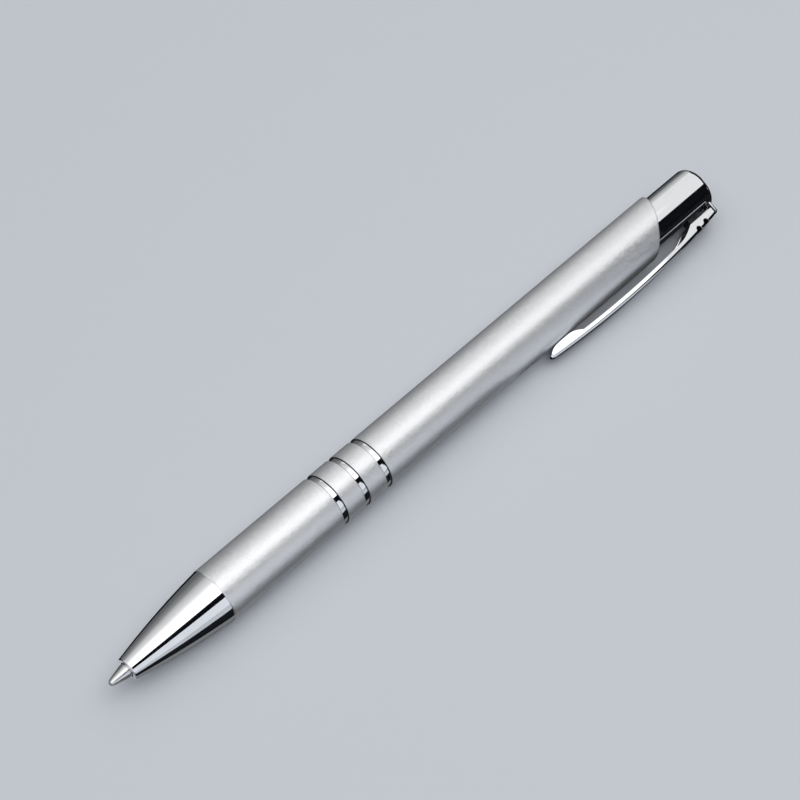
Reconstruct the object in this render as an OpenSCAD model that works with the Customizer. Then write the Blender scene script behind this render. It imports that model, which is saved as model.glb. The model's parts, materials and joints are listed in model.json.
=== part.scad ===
// Retractable ballpoint pen lying on a table, tip out and button latched in.
// Every piece is drawn along +Z, nose down, with z = 0 at the barrel's front end
// and the clip on +X. place() lays it along +X, rolled until the clip meets the table.
// The origin is on the pen's axis, halfway along the barrel's plain grip stretch.

/* [Barrel] */
// Outside diameter of the barrel
barrel_d = 10; // [9.6:0.1:11]
// Distance from the refill's rear end to the middle of the barrel's slanted rim
rim_from_refill = 29.05; // [27:0.05:40]
// Slant of the upper rim from square, lowest on the clip's side
rim_tilt = 31; // [0:1:35]
// Chamfer at the barrel's front end
barrel_chamfer = 0.15; // [0.05:0.05:0.3]
// Wall of the barrel around the button
barrel_top_wall = 0.6; // [0.5:0.05:0.8]
// Wall of the barrel around the front bush
barrel_front_wall = 0.7; // [0.5:0.05:0.8]

/* [Trim rings] */
// Distance from the barrel's front end to the first ring groove
ring_from_front = 24.4; // [20:0.1:30]
// Distance from one ring to the next
ring_pitch = 5; // [3:0.1:8]
// Width of a ring groove along the barrel
ring_groove_w = 1.15; // [0.8:0.05:2]
// Depth of a ring groove
ring_groove_depth = 0.45; // [0.35:0.05:0.6]
// How far a ring's face lies below the barrel's surface
ring_recess = 0.22; // [0.05:0.01:0.25]
// Gap on each side of a ring in its groove
ring_gap = 0.1; // [0.02:0.02:0.2]
// Gap where a ring is split to snap into its groove
ring_split = 0.3; // [0.1:0.1:1]

/* [Nose] */
// Length of the nose cone in front of the barrel
nose_l = 18.4; // [17.5:0.1:24]
// Diameter of the nose cone's flat front face
nose_front_d = 3.6; // [3.2:0.1:4.2]
// How much smaller the nose's rear edge is than the barrel, in radius
nose_step = 0.05; // [0:0.01:0.15]
// Radius of the long curve of the nose's side
nose_curve_r = 150; // [110:5:400]
// Radius of the rounded front edge of the nose
nose_edge_r = 0.35; // [0.2:0.05:0.6]
// Diameter of the opening for the writing tip
nose_hole_d = 2.8; // [2.7:0.05:2.9]
// Length of the opening, to the seat of the return spring
nose_hole_l = 3.2; // [2.5:0.1:4]
// Length of the screwed shank that goes into the front bush
shank_l = 8; // [5:0.5:12]
// Wall of the screwed shank
shank_wall = 0.6; // [0.5:0.05:0.7]
// Wall of the front bush
bush_wall = 0.5; // [0.4:0.05:0.6]

/* [Button] */
// How far the latched button stands out of the middle of the rim
button_proud = 13.4; // [11:0.1:18]
// Wall of the button's skirt
button_wall = 0.5; // [0.4:0.05:0.6]
// Thickness of the button's end
button_end_t = 1.4; // [1:0.1:1.6]
// Radius of the rounded edge of the button's end
button_edge_r = 1.3; // [0.3:0.1:1.4]
// Width of the slot in the button, open under the whole width of the clip
slot_w = 5.6; // [5:0.1:5.8]
// How far the button comes out when the tip goes in
travel_out = 5.5; // [4:0.1:7]
// How far the button goes in past its latched place
travel_over = 1; // [0.5:0.1:1.5]
// Length of skirt that stays in the barrel when the button is out
skirt_cover = 2.2; // [1.5:0.1:5]

/* [Clip] */
// Length of the clip
clip_l = 43.3; // [36:0.1:50]
// Distance from the button's end to the clip's end
clip_below_button = 1.6; // [1.4:0.1:3]
// Width of the clip
clip_w = 5; // [4:0.1:5.4]
// Width of the clip at the start of its rounded tip
clip_tip_w = 1.8; // [1.4:0.1:2.6]
// Length of the clip's rounded tip
clip_round_l = 1; // [0.6:0.1:3]
// Distance from the clip's end to where its sides begin to taper
clip_taper_from_end = 13.8; // [8:0.1:18]
// Greatest distance of the clip's side edge from the pen's axis
clip_reach = 7.1; // [6.8:0.05:8]
// Radius of the clip's bow
clip_bow_r = 200; // [160:5:400]
// Distance from the clip's tip to the highest point of its bow
clip_bow_from_tip = 18; // [15:0.5:24]
// Height of the clip arm's side face
clip_arm_t = 0.66; // [0.4:0.02:0.8]
// Chamfer along the clip's outer edges
clip_chamfer = 0.4; // [0.2:0.05:0.5]
// Thickness of the clip's side walls along its hollow underside
clip_wall = 0.5; // [0.4:0.05:0.6]
// Thickness of the clip's outer plate over its hollow
clip_plate = 0.55; // [0.45:0.05:0.6]
// Length of the thick foot that stands over the button
foot_l = 6.1; // [5.4:0.1:7]
// Length of the slope from the foot to the arm
foot_slope_l = 3.8; // [3:0.1:7]
// Gap between the foot and the button
foot_gap = 0.2; // [0.18:0.01:0.4]
// Thickness of the lip at the clip's end that curves around the button
lip_t = 0.35; // [0.2:0.05:0.6]
// How far the lip stands out beyond the foot's sides
lip_step = 0.15; // [0.05:0.05:0.2]
// Distance from the clip's tip to where its pad bears on the barrel
pad_l = 4.2; // [3.5:0.1:6]
// Length of the slope behind the pad
pad_slope_l = 3.5; // [2:0.1:5]
// How much higher the pad is at the clip's tip than where it bears
pad_rise = 1; // [0.2:0.05:1.3]
// Gap between the pad and the barrel
pad_gap = 0.06; // [0.04:0.01:0.15]
// Width of the web that goes through the button's slot
web_w = 2.2; // [2:0.1:2.6]
// Length of the web
web_l = 3; // [2.4:0.1:3.2]
// Thickness of the carrier tube above the web
web_roof = 0.8; // [0.5:0.1:1]
// Radius of the round bead that the clip rocks on
bead_r = 0.55; // [0.45:0.05:0.6]
// Radius of the decorative grooves across the clip
groove_r = 0.55; // [0.3:0.05:0.6]
// Distance from the clip's end to the first decorative groove
groove_from_end = 3.2; // [2.4:0.1:3.5]
// Distance from one decorative groove to the next
groove_pitch = 2.1; // [1.4:0.1:2.2]
// Number of decorative grooves
groove_count = 2; // [1:1:2]

/* [Mechanism] */
// Wall of the carrier tube around the cam sleeve
carrier_wall = 0.6; // [0.5:0.05:0.7]
// Thickness of the carrier tube's flange
flange_t = 0.8; // [0.5:0.1:1.5]
// Height of the ring that locks the flange in the barrel
lock_ring_h = 1.2; // [0.8:0.1:2]
// Diameter of the plunger's stem
plunger_d = 3.8; // [3.4:0.1:3.9]
// Length of the plunger's peg in the button's end
peg_l = 0.6; // [0.4:0.1:0.7]
// Diameter of the plunger's peg
peg_d = 2.4; // [1.5:0.1:2.8]
// Wall of the cam sleeve
sleeve_wall = 0.43; // [0.35:0.02:0.5]
// Length of the guide ribs in the cam sleeve
rib_l = 9; // [7:0.5:10]
// Width of the guide ribs and of the keys that run between them
rib_w = 1; // [0.7:0.1:1.1]
// Number of guide ribs
rib_count = 4; // [3:1:4]
// Length of the rotor behind its fins
rotor_head_l = 4.2; // [3:0.1:6]
// Length of the fins on the rotor
fin_l = 3; // [2:0.5:4]
// Length of the keys on the plunger
key_l = 5; // [3:0.5:6]
// Number of teeth between plunger and rotor
tooth_count = 8; // [6:1:10]

/* [Refill] */
// Overall length of the refill
refill_l = 98; // [90:0.5:110]
// Outside diameter of the refill's tube
refill_d = 5.9; // [5.6:0.05:6]
// Wall of the refill's tube
refill_wall = 0.3; // [0.2:0.05:0.4]
// How far the writing tip stands out of the nose
tip_proud = 3.65; // [2.8:0.05:3.8]
// Diameter of the writing ball
ball_d = 0.9; // [0.6:0.05:1]
// How far the ball stands out of its socket
ball_proud = 0.28; // [0.2:0.01:0.29]
// Wall of the socket's lip around the ball
lip_wall = 0.06; // [0.05:0.01:0.12]
// Diameter of the tip where its steep end meets its long cone
tip_end_d = 1.44; // [1.3:0.02:1.6]
// Length of the tip's steep end
tip_end_l = 0.9; // [0.7:0.05:1.1]
// Diameter of the straight neck behind the tip's cone
neck_d = 2.5; // [2.3:0.05:2.6]
// Distance from the tip's end to the straight neck
tip_cone_l = 3.2; // [3:0.1:4.5]
// Length of the writing tip in front of its holder
tip_l = 9; // [8:0.5:10]
// Diameter of the tip's peg in its holder
tip_peg_d = 1.5; // [1.2:0.1:1.7]
// Length of the tip's peg
tip_peg_l = 3; // [2:0.5:4]
// Diameter of the ink channel through tip and holder
channel_d = 0.8; // [0.5:0.1:0.9]
// Distance from the tip's end to the shoulder that the spring bears on
shoulder_from_tip = 14; // [13.3:0.1:14.3]
// Length of the holder's collar outside the tube
collar_l = 2; // [1.5:0.5:4]
// Length of the holder's spigot inside the tube
spigot_l = 4; // [2:0.5:8]
// Length of the ink in the tube
ink_l = 52; // [5:1:60]
// Length of the end plug behind the tube
plug_l = 6; // [4:0.5:8]
// Length of the end plug inside the tube
plug_in_l = 5; // [3:0.5:8]
// Diameter of the plug's vent
vent_d = 1; // [0.6:0.1:1.6]
// Width of the cross slots in the plug's end
plug_slot_w = 0.8; // [0.5:0.1:1]

/* [Return spring] */
// Diameter of the spring's wire
wire_d = 0.36; // [0.3:0.02:0.4]
// Outside diameter of the spring
spring_d = 3.6; // [3.5:0.05:3.7]
// Number of turns
spring_turns = 7; // [5:1:8]

/* [Clearances] */
// Radial clearance of pieces that slide
slide_gap = 0.1; // [0.05:0.01:0.12]
// Radial clearance of pieces that are pressed or screwed together
seat_gap = 0.02; // [0.01:0.01:0.04]
// Clearance at the ends of a travel
end_gap = 0.3; // [0.2:0.05:0.5]
// Clearance of the ball in its socket
ball_gap = 0.015; // [0.01:0.005:0.02]
// Clearance of the clip's bead and web in the carrier tube
bead_gap = 0.05; // [0.03:0.01:0.08]

/* [Hidden] */
$fn = 96;
eps = 0.01;

// Radii, from the outside in
barrel_r = barrel_d / 2;
top_bore_r = barrel_r - barrel_top_wall;
button_r = top_bore_r - slide_gap;
button_in_r = button_r - button_wall;
carrier_r = button_in_r - slide_gap;
mid_bore_r = carrier_r + seat_gap;
sleeve_r = carrier_r - carrier_wall - seat_gap;
sleeve_in_r = sleeve_r - sleeve_wall;
plunger_r = plunger_d / 2;
key_r = sleeve_in_r - slide_gap;
rib_in_r = plunger_r + slide_gap;
front_bore_r = barrel_r - barrel_front_wall;
bush_r = front_bore_r - seat_gap;
shank_r = bush_r - bush_wall - seat_gap;
nose_bore_r = shank_r - shank_wall;
refill_r = refill_d / 2;
refill_in_r = refill_r - refill_wall;

// Places along the axis; the barrel is as long as the refill and the mechanism need
tip_z = -nose_l - tip_proud;
refill_end_z = tip_z + refill_l;
barrel_l = refill_end_z + rim_from_refill;
rim_rise = barrel_r * tan(rim_tilt);
rim_low_z = barrel_l - rim_rise;
rim_high_z = barrel_l + rim_rise;
button_end_z = barrel_l + button_proud;
button_in_z = button_end_z - button_end_t;
skirt_end_z = rim_low_z - travel_out - skirt_cover;
lock_top_z = skirt_end_z - travel_over - end_gap;
flange_z = lock_top_z - lock_ring_h - flange_t;
carrier_top_z = button_in_z - travel_over - end_gap;
spring_seat_z = -nose_l + nose_hole_l;
shoulder_z = tip_z + shoulder_from_tip;
tube_z = shoulder_z + collar_l;
tube_end_z = refill_end_z - plug_l;
holder_end_z = tube_z + spigot_l;
nose_bore_z = shoulder_z - travel_over - end_gap;
carrier_low_z = refill_end_z + travel_out + end_gap;
fin_z = carrier_low_z + travel_over + end_gap;
rib_z = fin_z + fin_l + end_gap;
rotor_top_z = fin_z + fin_l + rotor_head_l;
tooth_h = plunger_r * 2 * sin(90 / tooth_count);
plunger_low_z = rotor_top_z - tooth_h + end_gap / 2;
key_z = plunger_low_z + tooth_h;
sleeve_top_z = key_z + key_l + travel_out + end_gap;

// The clip
clip_end_z = button_end_z - clip_below_button;
clip_tip_z = clip_end_z - clip_l;
foot_z = clip_end_z - foot_l;
bow_z = clip_tip_z + clip_bow_from_tip;
pad_z = clip_tip_z + pad_l;
round_z = clip_tip_z + clip_round_l;
taper_z = clip_end_z - clip_taper_from_end;
taper_power = 1.6;
web_top_z = carrier_top_z - web_roof - end_gap;
web_z = web_top_z - web_l;
bead_z = web_top_z - bead_r - end_gap / 2;
bead_x = carrier_r - bead_r;
web_x = bead_x + bead_r / 2;
slot_top_z = web_top_z + travel_over + end_gap;

function clamp(u) = max(0, min(1, u));
function edge_x(z) = clip_reach - pow(z - bow_z, 2) / (2 * clip_bow_r);
function arm_in_x(z) = edge_x(z) - clip_arm_t;
function pad_x(z) = min(barrel_r + pad_gap + pad_rise * pow(max(0, pad_z - z) / pad_l, 4.5),
    edge_x(z) - clip_arm_t * 0.4);
function foot_x() = button_r + foot_gap;
function foot_rise(u) = 1 - pow(1 - clamp(u), 2);
function inner_x(z) = z > bow_z
    ? foot_x() + (arm_in_x(z) - foot_x()) * foot_rise((foot_z - z) / foot_slope_l)
    : pad_x(z) + (arm_in_x(z) - pad_x(z)) * pow(clamp((z - pad_z) / pad_slope_l), 2.5);
function taper_w(z) = clip_w - (clip_w - clip_tip_w)
    * pow(max(0, taper_z - z) / (taper_z - round_z), taper_power);
function tip_round(z) = sqrt(max(0.25, 1 - pow(max(0, round_z - z) / (round_z - clip_tip_z), 2)));
function half_w(z) = max(taper_w(max(z, round_z)), clip_tip_w) / 2 * tip_round(z);
function chamfer_at(z) = min(clip_chamfer, half_w(z) * 0.5);

// One cross-section of the clip: flat inside, chamfered outside
function clip_section(z) = let (h = half_w(z), c = chamfer_at(z), e = edge_x(z), i = inner_x(z))
    [[i, -h, z], [i, h, z], [e, h, z], [e + c, h - c, z], [e + c, c - h, z], [e, -h, z]];
function steps(a, b, n) = [for (k = [0 : n - 1]) a + (b - a) * k / n];
clip_zs = concat(steps(clip_tip_z, round_z, 8), steps(round_z, foot_z, 72),
    steps(foot_z, clip_end_z, 6), [clip_end_z]);

// The hollow pressed into the clip's underside, from behind the pad to the foot
hollow_z = pad_z + pad_slope_l;
groove_low_z = clip_end_z - groove_from_end - groove_pitch * (groove_count - 1) - groove_r;
hollow_end_z = min(foot_z, groove_low_z - clip_wall / 2);
function hollow_x(z) = max(inner_x(z) + 0.1, edge_x(z) + chamfer_at(z) - clip_plate);
function hollow_section(z) = let (q = half_w(z) - clip_wall, i = inner_x(z) - clip_arm_t, o = hollow_x(z))
    [[i, -q, z], [i, q, z], [o, q, z], [o, -q, z]];
hollow_zs = concat(steps(hollow_z, hollow_end_z, 24), [hollow_end_z]);

// The roll at which the clip's edge first meets the table that the barrel lies on
lie_angle = min([for (z = clip_zs)
    asin(barrel_r / norm([edge_x(z), half_w(z)])) - atan2(half_w(z), edge_x(z))]);
grip_mid_z = (barrel_chamfer + ring_from_front) / 2;
function ring_z(i) = ring_from_front + ring_pitch * i;

echo(lie_angle = lie_angle, grip_mid_z = grip_mid_z, bead = [bead_x, bead_z - grip_mid_z]);
echo(bead_row_m = [bead_z - grip_mid_z, -bead_x * cos(lie_angle), -bead_x * sin(lie_angle)] / 1000,
    bead_axis = [0, -sin(lie_angle), cos(lie_angle)]);
echo(pad_row_m = [pad_z - grip_mid_z, -barrel_r * cos(lie_angle), -barrel_r * sin(lie_angle)] / 1000);
echo(ball_row_m = [tip_z + ball_d / 2 - grip_mid_z, 0, 0] / 1000,
    spring_end_m = (spring_seat_z - grip_mid_z) / 1000);
echo(grip_length = ring_from_front - barrel_chamfer, spring_gap = spring_pitch - wire_d);

module place() {
    rotate([lie_angle - 90, 0, 0]) rotate([0, 90, 0]) translate([0, 0, -grip_mid_z]) children();
}

module rod(r, z0, z1) {
    translate([0, 0, z0]) cylinder(r = r, h = z1 - z0);
}

module pipe(r_out, r_in, z0, z1) {
    difference() {
        rod(r_out, z0, z1);
        rod(r_in, z0 - eps, z1 + eps);
    }
}

// A solid that lies across the pen, along Y
module cross_rod(r, w, x, z) {
    translate([x, w / 2, z]) rotate([90, 0, 0]) cylinder(r = r, h = w);
}

// A closed skin through rings of points that all have the same count
module skin(rings) {
    n = len(rings[0]);
    m = len(rings);
    polyhedron(
        points = [for (ring = rings) each ring],
        faces = concat(
            [[for (i = [0 : n - 1]) n - 1 - i]],
            [for (j = [0 : m - 2]) for (i = [0 : n - 1])
                [j * n + i, j * n + (i + 1) % n, (j + 1) * n + i]],
            [for (j = [0 : m - 2]) for (i = [0 : n - 1])
                [(j + 1) * n + i, j * n + (i + 1) % n, (j + 1) * n + (i + 1) % n]],
            [[for (i = [0 : n - 1]) (m - 1) * n + i]]));
}

// V grooves across the end of a rod, which leave teeth between them
module tooth_cuts(z, turn) {
    for (i = [0 : tooth_count - 1])
        rotate([0, 0, 360 / tooth_count * i + turn]) translate([0, 0, z]) rotate([45, 0, 0])
            cube(2 * plunger_r);
}

// Keys that run in the slots between the ribs of the cam sleeve
module keys(z, l) {
    for (i = [0 : rib_count - 1])
        rotate([0, 0, 360 / rib_count * (i + 0.5)]) translate([0, -rib_w / 2, z])
            cube([key_r - eps, rib_w, l]);
}

module barrel() color("silver") place() {
    difference() {
        rotate_extrude() polygon([[0, 0], [barrel_r - barrel_chamfer, 0], [barrel_r, barrel_chamfer],
            [barrel_r, rim_high_z + 1], [0, rim_high_z + 1]]);
        rod(front_bore_r, -eps, shank_l + end_gap);
        rod(mid_bore_r, -eps, flange_z + eps);
        rod(top_bore_r, flange_z, rim_high_z + 2);
        for (i = [0 : 2])
            pipe(barrel_r + 1, barrel_r - ring_groove_depth, ring_z(i), ring_z(i) + ring_groove_w);
        translate([0, 0, barrel_l]) rotate([0, rim_tilt, 0]) translate([-2 * barrel_d, -2 * barrel_d, 0])
            cube(4 * barrel_d);
    }
}

module nose_cone() color("gainsboro") place() {
    front_r = nose_front_d / 2;
    back_r = barrel_r - nose_step;
    edge_z = -nose_l + nose_edge_r;
    edge_r = front_r + nose_edge_r;
    chord = norm([back_r - edge_r, -edge_z]);
    lean = atan2(back_r - edge_r, -edge_z);
    half_turn = asin(chord / 2 / nose_curve_r);
    middle = [(back_r + edge_r) / 2, edge_z / 2];
    centre = middle + nose_curve_r * cos(half_turn) * [-cos(lean), sin(lean)];
    curve = [for (i = [0 : 12]) let (a = lean + half_turn * (i / 6 - 1))
        centre + nose_curve_r * [cos(a), -sin(a)]];
    edge = [for (i = [0 : 4]) let (a = 90 - 18 * i)
        [front_r + nose_edge_r * cos(a), edge_z - nose_edge_r * sin(a)]];
    difference() {
        union() {
            rotate_extrude()
                polygon(concat([[0, 0], [0, -nose_l]], edge, [for (i = [12 : -1 : 0]) curve[i]]));
            rod(shank_r, -eps, shank_l);
        }
        rod(nose_hole_d / 2, -nose_l - eps, spring_seat_z + eps);
        rod(spring_d / 2 + 2 * slide_gap, spring_seat_z, nose_bore_z + eps);
        rod(nose_bore_r, nose_bore_z, shank_l + eps);
    }
}

module front_bush() color("goldenrod") place() {
    pipe(bush_r, bush_r - bush_wall, end_gap / 2, shank_l + end_gap);
}

// One trim ring, split on the side that faces the table
module trim_ring(i) color("white") place() {
    difference() {
        pipe(barrel_r - ring_recess, barrel_r - ring_groove_depth + seat_gap, ring_z(i) + ring_gap,
            ring_z(i) + ring_groove_w - ring_gap);
        rotate([0, 0, 90 - lie_angle]) translate([0, -ring_split / 2, ring_z(i)])
            cube([barrel_r, ring_split, ring_groove_w]);
    }
}

module trim_ring_front() trim_ring(0);

module trim_ring_middle() trim_ring(1);

module trim_ring_rear() trim_ring(2);

module push_button() color("gainsboro") place() {
    corner = [button_r - button_edge_r, button_end_z - button_edge_r];
    edge = [for (i = [0 : 8]) corner + button_edge_r * [cos(90 / 8 * i), sin(90 / 8 * i)]];
    difference() {
        rotate_extrude()
            polygon(concat([[0, skirt_end_z], [button_r, skirt_end_z]], edge, [[0, button_end_z]]));
        rod(button_in_r, skirt_end_z - eps, button_in_z);
        rod(peg_d / 2 + seat_gap, button_in_z - eps, button_in_z + peg_l + seat_gap);
        translate([0, -slot_w / 2, skirt_end_z - eps])
            cube([button_r + 1, slot_w, slot_top_z - skirt_end_z + eps]);
    }
}

module plunger() color("dimgray") place() {
    difference() {
        union() {
            rod(plunger_r, plunger_low_z, button_in_z);
            rod(peg_d / 2, button_in_z - eps, button_in_z + peg_l);
            keys(key_z, key_l);
        }
        mirror([0, 0, 1]) tooth_cuts(-plunger_low_z - tooth_h, 180 / tooth_count);
    }
}

module clip() color("gainsboro") place() {
    difference() {
        skin([for (z = clip_zs) clip_section(z)]);
        skin([for (z = hollow_zs) hollow_section(z)]);
        for (i = [0 : groove_count - 1])
            let (z = clip_end_z - groove_from_end - groove_pitch * i)
                cross_rod(groove_r, 2 * clip_w, edge_x(z), z);
    }
    difference() {
        translate([0, -clip_w / 2 - lip_step, clip_end_z - lip_t])
            cube([edge_x(clip_end_z) + lip_step, clip_w + 2 * lip_step, lip_t]);
        rod(foot_x(), clip_end_z - 2 * lip_t, clip_end_z + lip_t);
    }
    translate([web_x, -web_w / 2, web_z]) cube([foot_x() + foot_gap - web_x, web_w, web_l]);
    cross_rod(bead_r, web_w, bead_x, bead_z);
}

module carrier_tube() color("goldenrod") place() {
    difference() {
        union() {
            rod(carrier_r, carrier_low_z, carrier_top_z);
            rod(top_bore_r - seat_gap, flange_z, flange_z + flange_t);
        }
        rod(carrier_r - carrier_wall, carrier_low_z - eps, sleeve_top_z + end_gap);
        rod(rib_in_r, carrier_low_z - eps, carrier_top_z + eps);
        cross_rod(bead_r + bead_gap, web_w + 2 * slide_gap, bead_x, bead_z);
        translate([bead_x, -web_w / 2 - slide_gap, web_z - end_gap])
            cube([carrier_r, web_w + 2 * slide_gap, web_l + 2 * end_gap]);
    }
}

module lock_ring() color("darkgoldenrod") place() {
    pipe(top_bore_r - seat_gap, carrier_r + seat_gap, flange_z + flange_t, lock_top_z);
}

module cam_sleeve() color("white") place() {
    difference() {
        rod(sleeve_r, carrier_low_z, sleeve_top_z);
        rod(sleeve_in_r, carrier_low_z - eps, sleeve_top_z + eps);
    }
    for (i = [0 : rib_count - 1])
        rotate([0, 0, 360 / rib_count * i]) translate([0, 0, rib_z]) intersection() {
            translate([rib_in_r, -rib_w / 2, 0]) cube([sleeve_r, rib_w, rib_l]);
            cylinder(r = sleeve_r - sleeve_wall / 2, h = rib_l);
        }
}

module rotor() color("whitesmoke") place() {
    difference() {
        union() {
            rod(plunger_r, refill_end_z, rotor_top_z);
            keys(fin_z, fin_l);
        }
        tooth_cuts(rotor_top_z - tooth_h, 0);
    }
}

// The return spring's coil, from the nose's seat to the refill's shoulder
spring_mean_r = (spring_d - wire_d) / 2;
spring_low_z = spring_seat_z + wire_d / 2 + seat_gap;
spring_high_z = shoulder_z - wire_d / 2 - seat_gap;
spring_pitch = (spring_high_z - spring_low_z) / spring_turns;
spring_rings = 12;
spring_sides = 6;

function coil_ring(k) = let (a = 360 * k / spring_rings)
    [for (i = [0 : spring_sides - 1]) let (b = 360 * i / spring_sides,
        r = spring_mean_r + wire_d / 2 * cos(b))
        [r * cos(a), r * sin(a), spring_low_z + spring_pitch * k / spring_rings + wire_d / 2 * sin(b)]];

module return_spring() color("lightsteelblue") place() {
    skin([for (k = [0 : spring_turns * spring_rings]) coil_ring(k)]);
}

module refill_tube() color("lightgray") place() {
    pipe(refill_r, refill_in_r, tube_z, tube_end_z);
}

module tip_holder() color("goldenrod") place() {
    difference() {
        union() {
            rod(neck_d / 2, tip_z + tip_l, shoulder_z + eps);
            rod(refill_r, shoulder_z, tube_z);
            rod(refill_in_r - seat_gap, tube_z - eps, holder_end_z);
        }
        rod(tip_peg_d / 2 + seat_gap, tip_z + tip_l - eps, tip_z + tip_l + tip_peg_l + seat_gap);
        rod(channel_d / 2, tip_z + tip_l, holder_end_z + eps);
    }
}

module writing_tip() color("silver") place() {
    lip_r = ball_d / 2 + lip_wall;
    lip_z = tip_z + ball_proud;
    cone_z = tip_z + tip_cone_l;
    difference() {
        union() {
            rotate_extrude() polygon([[0, lip_z], [lip_r, lip_z], [tip_end_d / 2, tip_z + tip_end_l],
                [neck_d / 2, cone_z], [neck_d / 2, tip_z + tip_l], [0, tip_z + tip_l]]);
            rod(tip_peg_d / 2, tip_z + tip_l - eps, tip_z + tip_l + tip_peg_l);
        }
        translate([0, 0, tip_z + ball_d / 2]) sphere(r = ball_d / 2 + ball_gap);
        rod(ball_d / 4, tip_z + ball_d / 2, cone_z + eps);
        rod(channel_d / 2, cone_z, tip_z + tip_l + tip_peg_l + eps);
    }
}

module tip_ball() color("gray") place() {
    translate([0, 0, tip_z + ball_d / 2]) sphere(r = ball_d / 2);
}

module ink_column() color("midnightblue") place() {
    rod(refill_in_r - seat_gap, holder_end_z, holder_end_z + ink_l);
}

module refill_plug() color("dimgray") place() {
    difference() {
        union() {
            rod(refill_in_r - seat_gap, tube_end_z - plug_in_l, tube_end_z + eps);
            rod(refill_r, tube_end_z, refill_end_z);
        }
        rod(vent_d / 2, tube_end_z - plug_in_l - eps, refill_end_z + eps);
        for (a = [0, 90])
            rotate([0, 0, a]) translate([-refill_d, -plug_slot_w / 2, tube_end_z + plug_l / 3])
                cube([2 * refill_d, plug_slot_w, plug_l]);
    }
}

barrel();
nose_cone();
front_bush();
trim_ring_front();
trim_ring_middle();
trim_ring_rear();
push_button();
plunger();
clip();
carrier_tube();
lock_ring();
cam_sleeve();
rotor();
return_spring();
refill_tube();
tip_holder();
writing_tip();
tip_ball();
ink_column();
refill_plug();
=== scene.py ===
import json
import math

import bmesh
import bpy
from mathutils import Matrix, Vector


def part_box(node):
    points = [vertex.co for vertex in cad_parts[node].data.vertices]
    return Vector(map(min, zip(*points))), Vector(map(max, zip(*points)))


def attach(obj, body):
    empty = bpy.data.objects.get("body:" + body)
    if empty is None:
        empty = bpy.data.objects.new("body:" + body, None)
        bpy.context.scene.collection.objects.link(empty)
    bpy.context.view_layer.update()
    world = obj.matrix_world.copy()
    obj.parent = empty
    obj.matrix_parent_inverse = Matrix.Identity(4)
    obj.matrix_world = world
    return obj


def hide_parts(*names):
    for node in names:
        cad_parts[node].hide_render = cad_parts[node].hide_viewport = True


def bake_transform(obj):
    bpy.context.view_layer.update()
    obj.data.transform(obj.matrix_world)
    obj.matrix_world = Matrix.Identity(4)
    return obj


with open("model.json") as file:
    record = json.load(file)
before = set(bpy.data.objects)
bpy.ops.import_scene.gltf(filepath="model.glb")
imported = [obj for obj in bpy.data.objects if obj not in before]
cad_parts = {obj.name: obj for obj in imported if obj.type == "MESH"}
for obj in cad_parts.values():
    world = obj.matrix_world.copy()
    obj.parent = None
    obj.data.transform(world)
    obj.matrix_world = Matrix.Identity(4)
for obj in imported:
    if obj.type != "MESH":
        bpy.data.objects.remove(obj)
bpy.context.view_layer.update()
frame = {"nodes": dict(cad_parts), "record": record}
nodes = frame["nodes"]
scene = bpy.context.scene
mm = 0.001
near = 1e-6    # metres; points closer than this count as one place
slack = 0.01    # mm; how far a face may be off and still count as lying on a surface

# the seam between nose and barrel, and the clip's turn about the pen, both read off the frame
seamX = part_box("barrel")[0][0]
hinge = [j for j in frame["record"]["behaviour"]["joints"] if j["name"] == "clip_lift"][0]
lieAngle = math.asin(-hinge["axis"][1])
clipWay = Vector((0, -math.cos(lieAngle), -math.sin(lieAngle)))    # from the pen's axis out to the clip
sideWay = Vector((1, 0, 0)).cross(clipWay)    # across the clip
clipTurn = (math.pi / 2 + lieAngle, 0, 0)    # turns what is modelled on top of the pen to where the clip is
print("frame loaded, lie angle", round(math.degrees(lieAngle), 2))


# small helpers for modelling

def clearSelection():
    if bpy.context.object and bpy.context.object.mode != 'OBJECT':
        bpy.ops.object.mode_set(mode='OBJECT')
    bpy.ops.object.select_all(action='DESELECT')


def pick(piece):
    clearSelection()
    piece.select_set(True)
    bpy.context.view_layer.objects.active = piece


def alongPen(point):
    return (point.x - seamX) / mm    # mm from the seam


def fromAxis(point):
    return math.hypot(point.y, point.z) / mm    # mm from the pen's axis


def faceOutwards():
    # ends an edit: all faces turn outwards
    bpy.ops.mesh.select_all(action='SELECT')
    bpy.ops.mesh.normals_make_consistent(inside=False)
    bpy.ops.object.mode_set(mode='OBJECT')


def closeEnds():
    # in edit mode, every open end gets its cap
    bpy.ops.mesh.select_mode(type='EDGE')
    bpy.ops.mesh.select_all(action='DESELECT')
    bpy.ops.mesh.select_non_manifold(extend=False)
    bpy.ops.mesh.fill_holes(sides=0)


def roundedProfile(corners, closed=True, steps=5):
    # corners are (distance from the seam, radius, corner rounding) in mm; each rounded corner becomes an arc
    points = []
    count = len(corners)
    for i, (x, r, soft) in enumerate(corners):
        here = Vector((x, r))
        if soft == 0 or (not closed and i in (0, count - 1)):
            points.append(here)
            continue
        before = Vector(corners[i - 1][:2])
        after = Vector(corners[(i + 1) % count][:2])
        a = (before - here).normalized()
        b = (after - here).normalized()
        half = a.angle(b) / 2
        reach = soft / math.tan(half)
        centre = here + (a + b).normalized() * soft / math.sin(half)
        start = here + a * reach - centre
        turn = start.angle_signed(here + b * reach - centre)
        for k in range(steps + 1):
            spun = start.copy()
            spun.rotate(Matrix.Rotation(-turn * k / steps, 2))
            points.append(centre + spun)
    if closed:
        points.append(points[0])
    return [(seamX + p.x * mm, p.y * mm) for p in points]


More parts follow.
